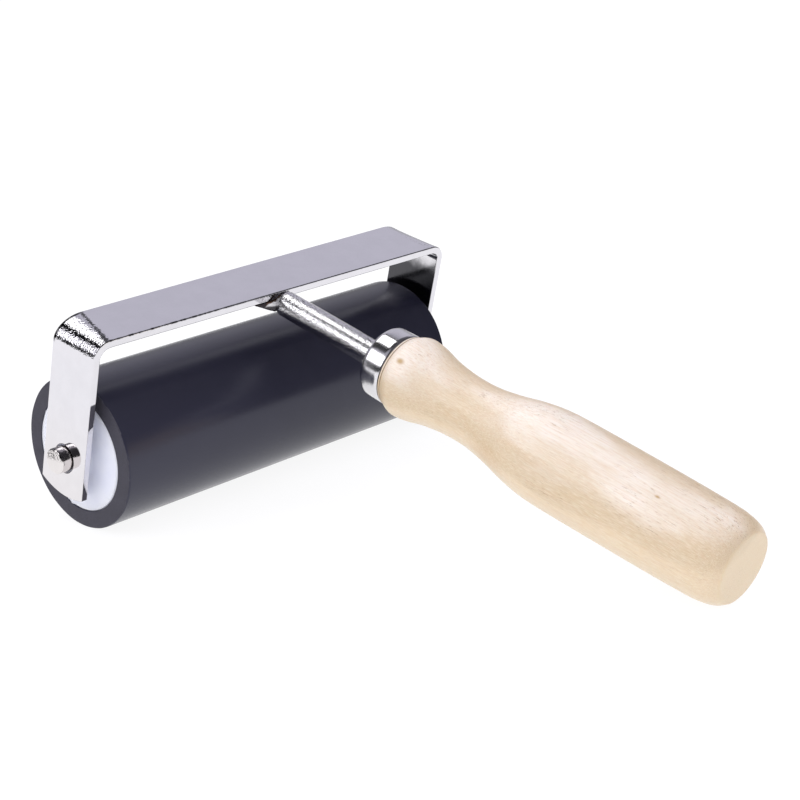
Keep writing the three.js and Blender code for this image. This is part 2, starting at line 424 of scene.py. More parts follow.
def upper_burr(n, p):
    """Where the broken dark line on the strap's upper front edge lies. It fades towards the right."""
    x, w, z = n.split(p)
    at_edge = n.times(n.step(w, -6.55, -6.25, 1.0, 0.0), n.step(z, 30.1, 30.3))
    dashes = n.step(n.streaks(p, (0.7, 0.1, 0.1), 4.0, 0.7), 0.42, 0.58)
    return n.times(at_edge, n.times(dashes, n.step(x, -46.0, 10.0, 0.95, 0.15)))


def back_burr(n, p, in_bend):
    """Where the left bend's back edge is dark."""
    x, w, _ = n.split(p)
    at_edge = n.times(in_bend, n.step(w, 5.9, 6.1, 0.0, 0.95))
    return n.times(at_edge, n.step(x, -1.0, 1.0, 1.0, 0.0))


def bend_dark_reflection(n, p):
    """Painted reflection: a ragged dark line across the strap where the left bend starts, wider in front than at
    the back.
    """
    slant, start = 0.23, -48.35
    raggedness, mean_raggedness = 2.6, 1.1
    x, w, _ = n.split(p)
    beyond = n.minus(x, n.plus(n.times(w, slant), start))
    beyond = n.plus(beyond, n.times(n.noise(p, 2.0, 2.0, 0.7), raggedness))
    beyond = n.times(n.minus(beyond, mean_raggedness), n.step(w, -6.2, 6.4, 0.85, 1.7))
    line = n.times(n.step(beyond, -1.1, -0.85), n.step(beyond, -0.1, 0.15, 0.92, 0.0))
    return n.times(line, n.step(w, -6.6, -6.4))


def strap_outside(n, p):
    """Plated strip, crazed where it is bent, with dark burrs on its edges, a painted dark reflection line at its
    left bend, and a painted reflection tint that is warmer low down and cooler at the top.
    """
    low_reflection_tint, high_reflection_tint = rgb(1.0, 0.985, 0.97), rgb(0.985, 0.985, 1.0)
    x, _, z = n.split(p)
    in_bend = n.times(n.step(n.unsigned(x), 46.0, 48.5), n.step(z, 25.0, 26.5))
    crazing = n.times(n.noise(p, 2.4, 1.0, 0.5), in_bend)
    inputs = plated((0.12, 2.2, 0.12), 0.004, 0.04, 0.08)(n, p, crazing)
    dark = n.larger(upper_burr(n, p), back_burr(n, p, in_bend))
    # the painted dark reflection at the left bend
    dark = n.larger(dark, bend_dark_reflection(n, p))
    # Painted reflection: a tint by height, warmer low down and cooler at the top
    reflection_tint = n.mix(n.step(z, -8.0, 18.0), low_reflection_tint, high_reflection_tint)
    inputs["Base Color"] = n.mix(1.0, inputs["Base Color"], reflection_tint, "MULTIPLY")
    inputs["Base Color"] = n.mix(dark, inputs["Base Color"], rgb(0.02, 0.02, 0.02))
    return inputs


def strap_inside(n, p):
    """The strip's inner face: the same plating, with painted shade low down on it beside the roller's right end.
    """
    shade_full, shade_gone, shade_strength = 23.0, 28.0, 0.93
    inputs = plated((0.12, 2.2, 0.12), 0.0012, 0.10, 0.18)(n, p)
    x, _, z = n.split(p)
    level = n.plus(z, n.times(n.noise(p, 0.35, 3.0), 3.0))
    # Painted shade: darker low down on the right ear's inner face, with a ragged edge
    shaded = n.times(n.step(level, shade_full, shade_gone, shade_strength, 0.0), n.step(x, -10.0, 10.0))
    inputs["Base Color"] = n.mix(shaded, inputs["Base Color"], rgb(0.03, 0.03, 0.035))
    return inputs


# The weld's upper boundary across the strap's front face: its foot (x, z), how far it runs and climbs
WELD_EDGE_FOOT = (-5.3, 28.9)
WELD_EDGE_RUN, WELD_EDGE_RISE = 3.4, 1.7


def weld_metal(n, p):
    """Plated weld metal, bright beside the stem, dark brown along its upper edge, with painted shade below and at
    its left toe.
    """
    grey = rgb(0.45, 0.44, 0.45)
    bright = rgb(0.76, 0.75, 0.77)
    edge_brown = rgb(0.085, 0.045, 0.03)
    shade_black = rgb(0.035, 0.03, 0.035)
    x, _, z = n.split(p)
    lumps = n.noise(p, 1.3, 4.0, 0.6)
    grit = n.noise(p, 5.0, 3.0, 0.7)
    wobble = n.times(n.minus(lumps, 0.5), 1.2)
    slope = math.hypot(WELD_EDGE_RUN, WELD_EDGE_RISE)
    off_x = n.times(n.minus(x, WELD_EDGE_FOOT[0]), -WELD_EDGE_RISE / slope)
    off_z = n.times(n.minus(z, WELD_EDGE_FOOT[1]), WELD_EDGE_RUN / slope)
    past_edge = n.plus(n.plus(off_x, off_z), wobble)
    colour = n.mix(n.step(lumps, 0.3, 0.6), grey, bright)
    # Dark brown along the weld's upper edge
    colour = n.mix(n.step(past_edge, -0.75, -0.45), colour, edge_brown)
    # Painted shade: near-black on the weld's lower part and its left toe, which face down
    painted_shade = n.larger(n.step(z, 27.4, 28.0, 0.96, 0.0), n.step(x, -6.0, -5.3, 0.96, 0.0))
    colour = n.mix(painted_shade, colour, shade_black)
    normal = n.bump(lumps, 0.12)
    normal = n.bump(grit, 0.03, normal)
    return {
        "Base Color": colour,
        "Metallic": 0.9,
        "Roughness": n.step(lumps, 0.3, 0.7, 0.2, 0.4),
        "Normal": normal,
    }


# Two small knots in the handle: place, and radius across and along the grain
KNOTS = [((-6.7, -48.1, 33.6), 0.8, 1.1), ((-5.9, -114.5, 35.5), 0.32, 0.8)]
# A brown stain on the neck: its middle, and what distances from it are multiplied by, least along the grain
STAIN = (-7.0, -76.0, 25.0)
STAIN_SQUEEZE = (0.22, 0.12, 0.22)
# Where the middle of the tree was, which the growth rings are about, and their width
PITH = (31.0, 0.0, -12.0)
RING_WIDTH = 2.7
END_FACE = 132.5  # where the handle's flat end starts, with its yellower end grain


def wood_grain(n, p):
    """Growth rings, fibres, hairs, patches and pores, each from 0 to 1, and the distance from the pith."""
    swirl = n.scale(n.streaks(p, (0.05, 0.016, 0.05), 2.0, 0.5, out="Color"), 5.0)
    from_pith = n.minus_point(n.vector("ADD", p, swirl), PITH)
    radius = n.length(n.stretch(from_pith, (1, 0, 1)))
    ring = n.math("FRACT", n.math("DIVIDE", radius, RING_WIDTH))
    late = n.times(n.step(ring, 0.55, 0.95), n.step(ring, 0.96, 1.0, 1.0, 0.0))
    fibre = n.streaks(p, (3.4, 0.13, 3.4), 5.0, 0.65)
    hair = n.streaks(p, (9.0, 0.5, 9.0), 3.0, 0.6)
    patch = n.streaks(p, (0.09, 0.03, 0.09), 3.0)
    pore = n.step(n.streaks(p, (5.2, 0.42, 5.2), 2.0, 0.75, 0.2), 0.60, 0.68)
    pore = n.times(pore, n.step(patch, 0.42, 0.62, 0.25, 1.0))
    return late, fibre, hair, patch, pore, radius


def wood_marks(n, p, colour, fibre, behind):
    """The wood's colour with its knots, and with the marks where it was turned and meets the ferrule."""
    knot = rgb(0.48, 0.28, 0.06)
    for place, across, along in KNOTS:
        squeezed = n.stretch(n.minus_point(p, place), (1 / across, 1 / along, 1 / across))
        reach = n.plus(n.length(squeezed), n.times(fibre, 0.5))
        colour = n.mix(n.step(reach, 0.4, 1.5, 0.8, 0.0), colour, knot)
    at_end = n.step(behind, END_FACE - 0.2, END_FACE + 0.2, 0.0, 0.5)
    colour = n.mix(at_end, colour, rgb(0.82, 0.66, 0.44))
    in_groove = n.step(n.unsigned(n.minus(behind, GROOVE)), 0.10, 0.22, 0.80, 0.0)
    colour = n.mix(in_groove, colour, rgb(0.26, 0.15, 0.07))
    in_seam = n.step(behind, FERRULE_END + 0.3, FERRULE_END + 0.42, 0.92, 0.0)
    return n.mix(in_seam, colour, rgb(0.03, 0.02, 0.02))


def wood(n, p):
    """Pale close-grained hardwood: growth rings about a distant pith, long fibres, open pores and knots."""
    honey = rgb(0.81, 0.645, 0.43)
    cream_and_sheen = rgb(0.90, 0.82, 0.73)
    shade_brown = rgb(0.57, 0.43, 0.245)
    late, fibre, hair, patch, pore, radius = wood_grain(n, p)
    behind = n.times(n.split(p)[1], -1.0)

    # Pale cream on the upper flank and honey below: partly the wood's own sapwood and heartwood, partly a painted
    # sheen on the upper side
    slope = n.step(behind, 40.0, 140.0, 1.7, -0.9)
    depth = n.plus(n.plus(radius, slope), n.times(patch, 9.0))
    colour = n.mix(n.step(depth, 61.2, 65.2), honey, cream_and_sheen)
    # Painted shade: a darker brown streak along the middle of the handle
    painted_shade_streak = n.times(n.step(depth, 58.6, 60.8), n.step(depth, 62.4, 65.2, 0.52, 0.0))
    colour = n.mix(painted_shade_streak, colour, shade_brown)
    off_stain = n.plus(n.length(n.stretch(n.minus_point(p, STAIN), STAIN_SQUEEZE)), n.times(fibre, 1.2))
    colour = n.mix(n.step(off_stain, 0.7, 1.6, 0.55, 0.0), colour, rgb(0.55, 0.34, 0.13))
    colour = n.mix(n.times(late, 0.10), colour, rgb(0.66, 0.44, 0.24))
    colour = n.mix(n.step(fibre, 0.40, 0.66, 0.0, 0.42), colour, rgb(0.70, 0.50, 0.32))
    colour = n.mix(n.step(hair, 0.42, 0.66, 0.0, 0.40), colour, rgb(0.93, 0.84, 0.70))
    colour = n.mix(n.times(pore, 0.78), colour, rgb(0.40, 0.23, 0.11))
    colour = wood_marks(n, p, colour, fibre, behind)

    lathe_lines = n.streaks(p, (0.1, 2.2, 0.1), 3.0)
    varnish = n.streaks(p, (0.05, 0.012, 0.05), 3.0)
    normal = n.bump(lathe_lines, 0.012)
    normal = n.bump(n.minus(fibre, n.times(pore, 0.8)), 0.035, normal)
    return {
        "Base Color": colour,
        "Roughness": n.plus(n.step(fibre, 0.3, 0.7, 0.46, 0.56), n.times(pore, 0.2)),
        "Subsurface Weight": 0.12,
        "Subsurface Radius": (1.0, 0.6, 0.35),
        "Subsurface Scale": 1.2 * MM,
        "Specular IOR Level": 0.6,
        "Coat Weight": 0.6,
        "Coat Roughness": n.step(varnish, 0.3, 0.7, 0.30, 0.40),
        "Normal": normal,
    }


def rod_plating(n, p):
    """Drawn rod: long drawing lines, and plating that is finely speckled."""
    ripples = n.streaks(p, (3.2, 1.6, 3.2), 2.0, 0.6)
    inputs = plated((2.2, 0.45, 2.2), 0.04, 0.05, 0.11)(n, p, ripples)
    specks = n.step(n.streaks(p, (4.4, 2.8, 4.4), 2.0, 0.7), 0.50, 0.58, 0.0, 0.8)
    inputs["Base Color"] = n.mix(specks, inputs["Base Color"], rgb(0.10, 0.095, 0.10))
    return inputs


def axle_plating(n, p):
    """Drawn rod whose sawn ends are rough and speckled. The dark specks are kept to their upper edge: a painted
    dark reflection on the rough ends.
    """
    inputs = plated((0.9, 2.4, 2.4), 0.04, 0.06, 0.14)(n, p)
    x, _, z = n.split(p)
    at_end = n.step(n.unsigned(x), AXLE_END - 0.75, AXLE_END - 0.35)
    specks = n.step(n.noise(p, 2.6, 2.0, 0.6), 0.46, 0.58)
    # Painted reflection: dark specks only on the upper part of each sawn end
    dark = n.times(n.times(at_end, specks), n.step(z, 0.0, 1.3, 0.0, 0.85))
    inputs["Base Color"] = n.mix(1.0, inputs["Base Color"], rgb(1.0, 0.97, 0.93), "MULTIPLY")
    inputs["Base Color"] = n.mix(dark, inputs["Base Color"], rgb(0.03, 0.03, 0.03))
    return inputs


RUBBER_SIDE = material("rubber_ground", rubber_side)
RUBBER_CUT = material("rubber_cut_end", rubber_cut)
PLASTIC = material("core_plastic", white_plastic)
STRAP_STEEL = material("strap_plating", strap_outside)
STRAP_INSIDE = material("strap_inside_shade", strap_inside)
ROD_STEEL = material("rod_plating", rod_plating)
AXLE_STEEL = material("axle_plating", axle_plating)
CAP_STEEL = material("ferrule_plating", plated((0.5, 3.0, 0.5), 0.010, 0.12, 0.18))
WELD = material("weld_plating", weld_metal)
WOOD = material("handle_wood", wood)


# ---- Roller ----


def rubber_cover():
    """Rubber tube with broken outer edges; its knife-cut ends aren't quite flat or even."""
    edge = 0.5
    inner_edge = 0.15
    side = HALF_ROLLER - edge
    half = [(HALF_ROLLER - inner_edge, CORE_RADIUS), (HALF_ROLLER, CORE_RADIUS + inner_edge)]
    half += [(HALF_ROLLER, CORE_RADIUS + 1.3), (HALF_ROLLER, CORE_RADIUS + 2.6)]
    half += arc((side, ROLLER_RADIUS - edge), edge, 0, 90, 5)
    half += [(x, ROLLER_RADIUS) for x in (48.5, 40, 30, 20, 10)]
    outline = half + [(0, ROLLER_RADIUS)] + [(-x, r) for x, r in reversed(half)]
    outline += [(-30, CORE_RADIUS), (30, CORE_RADIUS)]
    out_of_flat, out_of_round = 0.05, 0.0022

    def shape(point, along, angle):
        if abs(along) < side:
            return point
        around = Vector((math.cos(angle), math.sin(angle), 0)) * 10
        point.x += math.copysign(out_of_flat * ripple(around, 5.0, 3.1 * along), along)
        push = 1 + out_of_round * ripple(around, 1.6, along)
        return Vector((point.x, point.y * push, point.z * push))

    obj = turned("rubber_cover", outline, 224, "roller", ROLLER_PLACE, [RUBBER_SIDE, RUBBER_CUT], shape)
    finish_surface(obj)
    for face in obj.data.polygons:
        if abs(face.normal.x) > 0.7:
            face.material_index = 1
    stands_for(obj, "roller", "rubber_sleeve")


def plug(name, node, side, flashes):
    """End plug with a spigot, a flange and a hub round the axle.

    flashes are the (angle, width, height) of scraps of moulding flash on the flange's rim.
    """
    rim = 0.25
    bore = 2.95
    spigot_end, spigot_radius = 36, 10.5
    flange_back = 47.9
    radius = CORE_RADIUS - 0.1
    face = HALF_ROLLER - 0.02
    hub_end = HALF_ROLLER + 1.6
    outline = [(spigot_end, bore), (spigot_end, spigot_radius), (flange_back, spigot_radius)]
    outline += [(flange_back, radius - 0.2), (flange_back + 0.2, radius)]
    outline += [(face - rim, radius)] + arc((face - rim, radius - rim), rim, 90, 0, 4)[1:]
    outline += [(face, r) for r in (11.6, 10.0, 8.0, 6.4, 5.2)]
    outline += [(face + 0.12, 4.7), (face + 0.4, 4.45)]
    outline += [(hub_end - 0.25, 4.4), (hub_end, 4.15), (hub_end, bore)]
    outline = [(side * along, r) for along, r in outline]
    lean = 0.6  # how far a scrap of flash leans outwards, for its height

    def shape(point, along, angle):
        radial = math.hypot(point.y, point.z)
        if abs(along) < face - 1.0 or radial < radius - 0.5:
            return point
        for at, width, height in flashes:
            off = abs((angle - math.radians(at) + math.pi) % (2 * math.pi) - math.pi) * radius
            lump = height * math.exp(-((off / width) ** 2))
            point = point + lump * Vector((side * lean, math.cos(angle), math.sin(angle)))
        return point

    obj = turned(name, outline, 192, "roller", ROLLER_PLACE, [PLASTIC], shape)
    finish_surface(obj)
    stands_for(obj, "roller", node)


def axle_rod():
    """Sawn rod with broken edges; its ends are a little domed and rough."""
    break_edge = 0.42
    dome = 0.05
    end = [(AXLE_END, 0), (AXLE_END, 0.9), (AXLE_END - 0.02, 1.7), (AXLE_END - dome, 2.2)]
    end += arc((AXLE_END - break_edge - dome, AXLE_RADIUS - break_edge), break_edge, 0, 90, 5)
    end += [(x, AXLE_RADIUS) for x in (55.6, 55.0, 54.4, 53.0, 50.0)]
    outline = end + [(0, AXLE_RADIUS)] + [(-x, r) for x, r in reversed(end)]
    inside_roller = 52
    out_of_flat, out_of_round = 0.05, 0.018

    def shape(point, along, angle):
        if abs(along) < inside_roller:
            return point
        near_end = smoothstep(AXLE_END - 1.0, AXLE_END, abs(along))
        point.x += out_of_flat * near_end * ripple(point, 0.7, 8.0)
        on_rim = smoothstep(AXLE_END - 0.9, AXLE_END - 0.2, abs(along))
        push = 1 + out_of_round * ripple(point, 0.9, 4.0) * on_rim
        return Vector((point.x, point.y * push, point.z * push))

    obj = turned("axle_rod", outline, 96, "roller", ROLLER_PLACE, [AXLE_STEEL], shape)
    finish_surface(obj)
    stands_for(obj, "roller", "axle")


# ---- Yoke ----

# How far a bend reaches along the strap and down the ear, at its front and back edges
BEND_FRONT = (4.1, 4.1)
BEND_BACK = (7.2, 4.9)
BEND_STEPS = 18
BEND_CURL = 0.06  # how far a bend's edges stand proud of its middle
BACK_SPREAD = 1.3  # how far the back edge runs out at the right ear
COLUMNS = (-6.75, -6.35, -5.6, -4.6, -3.5, -2.3, -1.1, 0, 1.1, 2.3, 3.5, 4.6, 5.6, 6.35, 6.75)
PATCH_TOP = 8.0  # the part of an ear below this is the patch round its hole
PATCH_SIDE_ROWS = 8
PATCH_RINGS = (0.90, 0.74, 0.55, 0.36, 0.22, 0.12, 0.0)  # from the patch's edge (1) to the hole (0)
EAR_ROWS = (11.0, 14.0, 17.0, 20.0)
BEND_MARGINS = (1.6, 0.5)  # rows that close an ear off below its bend
TOP_MARGIN = 0.6
TOP_STEP, TOP_STEPS = 3.4, 13  # from the strap's middle to each bend


def bend_size(across):
    """A bend's reach and drop at one place across the strap: it is tighter at the front edge."""
    share = (across + HALF_WIDTH) / (2 * HALF_WIDTH)
    return [front + (back - front) * share for front, back in zip(BEND_FRONT, BEND_BACK)]


def ear_row(side, z):
    return [(side * HALF_SPAN, w, z) for w in COLUMNS]


def top_row(x):
    return [(x, w, STRAP_TOP) for w in COLUMNS]


def bend_row(side, quarter):
    """A row in a bend, from its start on the ear (0) to its end on the top (1)."""
    points = []
    angle = quarter * math.pi / 2
    for w in COLUMNS:
        reach, drop = bend_size(w)
        lift = BEND_CURL * (w / HALF_WIDTH) ** 4 * math.sin(2 * angle)
        x = HALF_SPAN - reach + (reach + lift) * math.cos(angle)
        z = STRAP_TOP - drop + (drop + lift) * math.sin(angle)
        points.append((side * x, w, z))
    return points


def below_bend(side, margin):
    return [(side * HALF_SPAN, w, STRAP_TOP - bend_size(w)[1] - margin) for w in COLUMNS]


def beside_bend(side, margin):
    return [(side * (HALF_SPAN - bend_size(w)[0] - margin), w, STRAP_TOP) for w in COLUMNS]


def ear_rows(side):
    """Rows up an ear and round its bend, as far as the flat top."""
    rows = [ear_row(side, z) for z in (PATCH_TOP, *EAR_ROWS)]
    rows += [below_bend(side, margin) for margin in BEND_MARGINS]
    rows += [bend_row(side, i / BEND_STEPS) for i in range(BEND_STEPS + 1)]
    rows.append(beside_bend(side, TOP_MARGIN))
    return rows


def patch_edge():
    """The outline of an ear's patch as (across, height): its top row, back, rounded end and front."""
    sag_radius = (HALF_WIDTH**2 + EAR_SAG**2) / (2 * EAR_SAG)
    drop = PATCH_TOP - EAR_CORNER
    steps = [drop * i / PATCH_SIDE_ROWS for i in range(1, PATCH_SIDE_ROWS)]
    edge = [(w, PATCH_TOP) for w in COLUMNS]
    edge += [(HALF_WIDTH, PATCH_TOP - step) for step in steps]
    for w in reversed(COLUMNS):
        edge.append((w, EAR_CORNER - EAR_SAG + sag_radius - math.sqrt(sag_radius**2 - w**2)))
    edge += [(-HALF_WIDTH, EAR_CORNER + step) for step in steps]
    return edge


def strap_sheet():
    """Outside surface of the bent strap as quads, with a round hole in each ear."""
    verts = []
    faces = []

    def add(points):
        verts.extend(points)
        return list(range(len(verts) - len(points), len(verts)))

    rows = ear_rows(-1)
    rows += [top_row(TOP_STEP * i) for i in range(-TOP_STEPS, TOP_STEPS + 1)]
    rows += reversed(ear_rows(1))
    rows = [add(row) for row in rows]
    across = len(COLUMNS) - 1
    for a, b in zip(rows, rows[1:]):
        for i in range(across):
            faces.append((a[i], a[i + 1], b[i + 1], b[i]))

    edge = patch_edge()
    for side, top in ((-1, rows[0]), (1, rows[-1])):
        outer = top + add([(side * HALF_SPAN, w, z) for w, z in edge[across + 1 :]])
        for share in PATCH_RINGS:
            points = []
            for w, z in edge:
                angle = math.atan2(z, w)
                hw, hz = HOLE_RADIUS * math.cos(angle), HOLE_RADIUS * math.sin(angle)
                points.append((side * HALF_SPAN, hw + (w - hw) * share, hz + (z - hz) * share))
            ring = add(points)
            for i in range(len(edge)):
                j = (i + 1) % len(edge)
                faces.append((outer[i], outer[j], ring[j], ring[i]))
            outer = ring
    return verts, faces


def strap():
    """The bent strip: its outside surface made slightly wavy, then given its thickness."""
    wave = 0.012
    verts, faces = strap_sheet()
    wavy = []
    for x, w, z in verts:
        w += BACK_SPREAD * (x + HALF_SPAN) / (2 * HALF_SPAN) * smoothstep(HOLE_RADIUS + 0.4, HALF_WIDTH, w)
        depth = wave * ripple((x, w, z), 9.0, 2.0)
        on_top = smoothstep(STRAP_TOP - 6, STRAP_TOP, z)
        wavy.append((x - math.copysign(depth * (1 - on_top), x), w, z - abs(depth) * on_top))
    obj = build("strap_yoke", wavy, faces, STRAP_PLACE, [STRAP_STEEL, STRAP_INSIDE])
    # The sheet's faces look outwards, away from the roller
    bm = bmesh.new()
    bm.from_mesh(obj.data)
    top = max(bm.faces, key=lambda f: f.calc_center_median().z)
    if top.normal.z < 0:
        bmesh.ops.reverse_faces(bm, faces=bm.faces)
    bm.to_mesh(obj.data)
    bm.free()
    thick = obj.modifiers.new("thickness", "SOLIDIFY")
    thick.thickness = STRAP_THICKNESS * MM
    thick.offset = -1
    thick.use_even_offset = True
    thick.material_offset = 1
    bevel(obj, 0.28, 3, 50.0)
    obj.data.polygons.foreach_set("use_smooth", [True] * len(obj.data.polygons))
    stands_for(obj, "frame", "yoke")


# ---- Stem, weld, ferrule ----


def from_stem_axis(point, push):
    """A point moved out from the stem's axis by a factor."""
    middle = Vector((0, point.y, STEM_HEIGHT))
    return middle + (point - middle) * push


def stem_rod():
    """Drawn rod, not perfectly round or straight-sided, with a rough chamfer at the strap."""
    chamfer = 0.45
    tang_chamfer = 0.6
    out_of_round, end_roughness = 0.004, 0.03
    start = STEM_START
    outline = [(start, 0), (start, 1.4), (start, STEM_RADIUS - chamfer)]
    outline += [(start + 0.12, STEM_RADIUS - 0.18), (start + chamfer, STEM_RADIUS)]
    outline += [(start + 0.9 + 1.5 * i, STEM_RADIUS) for i in range(22)]
    outline += [(STEM_END - tang_chamfer, STEM_RADIUS), (STEM_END, STEM_RADIUS - tang_chamfer), (STEM_END, 0)]

    def shape(point, along, angle):
        near_strap = smoothstep(STEM_START + 1.2, STEM_START, along)
        push = 1 + out_of_round * ripple(point, 4.0, 5.0)
        push += end_roughness * ripple(point, 1.1, 9.0) * near_strap
        return from_stem_axis(point, push)

    obj = turned("stem_rod", outline, 80, "handle", STRAP_PLACE, [ROD_STEEL], shape)
    finish_surface(obj)
    stands_for(obj, "frame", "stem")


WELD_LEFT, WELD_RIGHT = -8.9, 2.4
# How far the weld hangs down, stands out in front of the strap and runs back under it, at its thickest
WELD_DEPTH, WELD_FRONT, WELD_BACK = 2.7, 0.85, 2.2
WELD_FEATHER = 0.10  # its thickness at its ends
WELD_STATIONS = 60
WELD_SIDES = 28


def weld_ring(x):
    """The weld's section at one place along the strap, thin at both ends and thick at the stem."""
    top = STRAP_TOP - STRAP_THICKNESS - 0.03
    toe = min(1.0, (x - WELD_LEFT) / (-STEM_RADIUS - WELD_LEFT))
    heel = smoothstep(WELD_RIGHT, 0.6, x)
    low = WELD_FEATHER + WELD_DEPTH * toe * heel
    front = WELD_FEATHER + WELD_FRONT * smoothstep(-5.8, -3.2, x) * heel
    back = 0.4 + WELD_BACK * toe * heel
    rise = min(1.0, max(0.0, (x - WELD_EDGE_FOOT[0]) / WELD_EDGE_RUN))
    climb = 0.08 + WELD_EDGE_RISE * rise * smoothstep(0.8, -1.2, x)
    ring = []
    for j in range(WELD_SIDES):
        angle = 2 * math.pi * j / WELD_SIDES
        c, s = math.cos(angle), math.sin(angle)
        y = -HALF_WIDTH + (back if c > 0 else front) * math.copysign(abs(c) ** 0.8, c)
        z = top + low * s
        if s > 0:
            z = top + climb * s * smoothstep(0.2, -0.6, c)
        lump = 0.14 * toe * ripple((x, y, z), 1.4, 6.0) + 0.07 * toe * ripple((x, y, z), 0.6, 7.0)
        under_strap = s > 0 and c > 0
        if under_strap:
            lump = 0.0
        ring.append((x, y + lump * c, z + lump * s))
    return ring


def weld():
    """Fillet under and in front of the strap: it climbs beside the stem and tapers to a toe at its left."""
    verts = []
    faces = []
    for i in range(WELD_STATIONS + 1):
        verts += weld_ring(WELD_LEFT + (WELD_RIGHT - WELD_LEFT) * (i / WELD_STATIONS))
    for i in range(WELD_STATIONS):
        for j in range(WELD_SIDES):
            k = (j + 1) % WELD_SIDES
            a, b = i * WELD_SIDES, (i + 1) * WELD_SIDES
            faces.append((a + j, a + k, b + k, b + j))
    for start in (0, WELD_STATIONS * WELD_SIDES):
        centre = len(verts)
        points = verts[start : start + WELD_SIDES]
        verts.append(tuple(sum(p[axis] for p in points) / WELD_SIDES for axis in range(3)))
        for j in range(WELD_SIDES):
            faces.append((centre, start + j, start + (j + 1) % WELD_SIDES))
    obj = build("weld_fillet", verts, faces, STRAP_PLACE, [WELD])
    finish_surface(obj, 70.0)
    stands_for(obj, "frame", "weld_bead")


def ferrule_cap():
    """Pressed cap, a touch wavy on its side, with a front corner that isn't quite even."""
    wall = 0.8
    rounding = 1.3
    out_of_round = 0.0016
    hole = STEM_RADIUS + 0.12
    start = FERRULE_START
    corner = (start + rounding, FERRULE_RADIUS - rounding)
    outline = [(start + 0.2, hole), (start, hole + 0.2), (start, 4.3), (start, 5.6)]
    outline += arc(corner, rounding, 180, 90, 9)
    outline += [(start + behind, FERRULE_RADIUS) for behind in (2.2, 3.4, 4.6)]
    outline += [(FERRULE_END - 0.22, FERRULE_RADIUS), (FERRULE_END - 0.06, FERRULE_RADIUS - 0.06)]
    outline += [(FERRULE_END, FERRULE_RADIUS - 0.22), (FERRULE_END, FERRULE_RADIUS - wall)]
    outline += [(start + wall, FERRULE_RADIUS - wall), (start + wall, hole)]

    def shape(point, along, angle):
        around = Vector((math.cos(angle), math.sin(angle), 0.1 * along)) * 10
        return from_stem_axis(point, 1 + out_of_round * ripple(around, 4.5, 1.0))

    obj = turned("ferrule_cap", outline, 160, "handle", STRAP_PLACE, [CAP_STEEL], shape)
    finish_surface(obj)
    stands_for(obj, "frame", "ferrule")


# ---- Handle ----

# (distance from HANDLE_START, radius): bead, neck, barrel and rounded end
HANDLE_STATIONS = [
    (0, 8.1), (1.2, 8.45), (2.2, 8.95), (3.6, 9.2), (6.6, 8.8), (11, 7.75), (17, 7.05), (23, 7.1), (29, 8),
    (35, 9.3), (41, 10.05), (50, 10.2), (66, 10.1), (80, 9.85), (84.4, 9.5), (87, 8.8), (88.6, 7.7),
]
TENON_RADIUS = 7.2
TENON_START = 39.2
BORE_RADIUS = 3.07
BORE_END = 84.3
GROOVE_DEPTH = 0.14
GROOVE_HALF = 0.16
GROOVE_REACH = 0.42  # to the plain rings on either side of it


def through(points, steps):
    """A smooth curve through the points, with equal steps between each two."""
    ends = [points[0], *points, points[-1]]
    curve = []
    for i in range(len(points) - 1):
        a, b, c, d = (Vector(p) for p in ends[i : i + 4])
        for k in range(steps):
            t = k / steps
            start_pull, end_pull = (c - a) * 0.5, (d - b) * 0.5
            curve.append(
                b * (2 * t**3 - 3 * t**2 + 1)
                + start_pull * (t**3 - 2 * t**2 + t)
                + c * (3 * t**2 - 2 * t**3)
                + end_pull * (t**3 - t**2)
            )
    curve.append(Vector(points[-1]))
    return curve


def groove_points():
    """The groove's outline, on wood that widens by a quarter of the distance."""
    radius_at_start, widening = 8.12, 0.25
    points = []
    sinks = ((-GROOVE_REACH, 0), (-GROOVE_HALF, 0), (0, GROOVE_DEPTH), (GROOVE_HALF, 0), (GROOVE_REACH, 0))
    for off, sink in sinks:
        along = GROOVE + off
        points.append((along, radius_at_start + widening * (along - HANDLE_START) - sink))
    return points


def wooden_handle():
    """Turned handle on the stem's tang; hand sanding leaves its surface slightly uneven."""
    smooth_end = HANDLE_START + 0.9  # the wood up to here is even
    out_of_round = 0.0035
    outer = []
    for distance, radius in through(HANDLE_STATIONS, 8):
        along = HANDLE_START + distance
        if distance == 0:
            outer.append((along, radius))
            outer += groove_points()
        elif along > GROOVE + GROOVE_REACH:
            outer.append((along, radius))
    rim_along, rim_radius = outer[-1]
    end = rim_along + 0.13
    outer.append((rim_along + 0.10, rim_radius - 0.35))
    outer += [(end, r) for r in (6.6, 5.0, 3.0)]
    outline = [(BORE_END, 0), (BORE_END, BORE_RADIUS), (TENON_START, BORE_RADIUS)]
    outline += [(TENON_START, TENON_RADIUS), (HANDLE_START, TENON_RADIUS), *outer, (end, 0)]

    def shape(point, along, angle):
        if along <= smooth_end:
            return point
        return from_stem_axis(point, 1 + out_of_round * ripple(point, 16.0, 5.0))

    obj = turned("wooden_handle", outline, 160, "handle", STRAP_PLACE, [WOOD], shape)
    finish_surface(obj, 50.0)
    stands_for(obj, "frame", "handle")


rubber_cover()
plug("plug_left", "end_plug_left", -1, [(288, 0.45, 0.22), (178, 0.5, 0.14), (35, 0.6, 0.08)])
plug("plug_right", "end_plug_right", 1, [(100, 0.5, 0.12)])
axle_rod()
strap()
stem_rod()
weld()
ferrule_cap()
wooden_handle()

# The core tube is hidden inside and keeps its CAD shape
core = frame["nodes"]["core_tube"]
core.data.materials.clear()
core.data.materials.append(PLASTIC)


# ---- Floor, light and camera ----


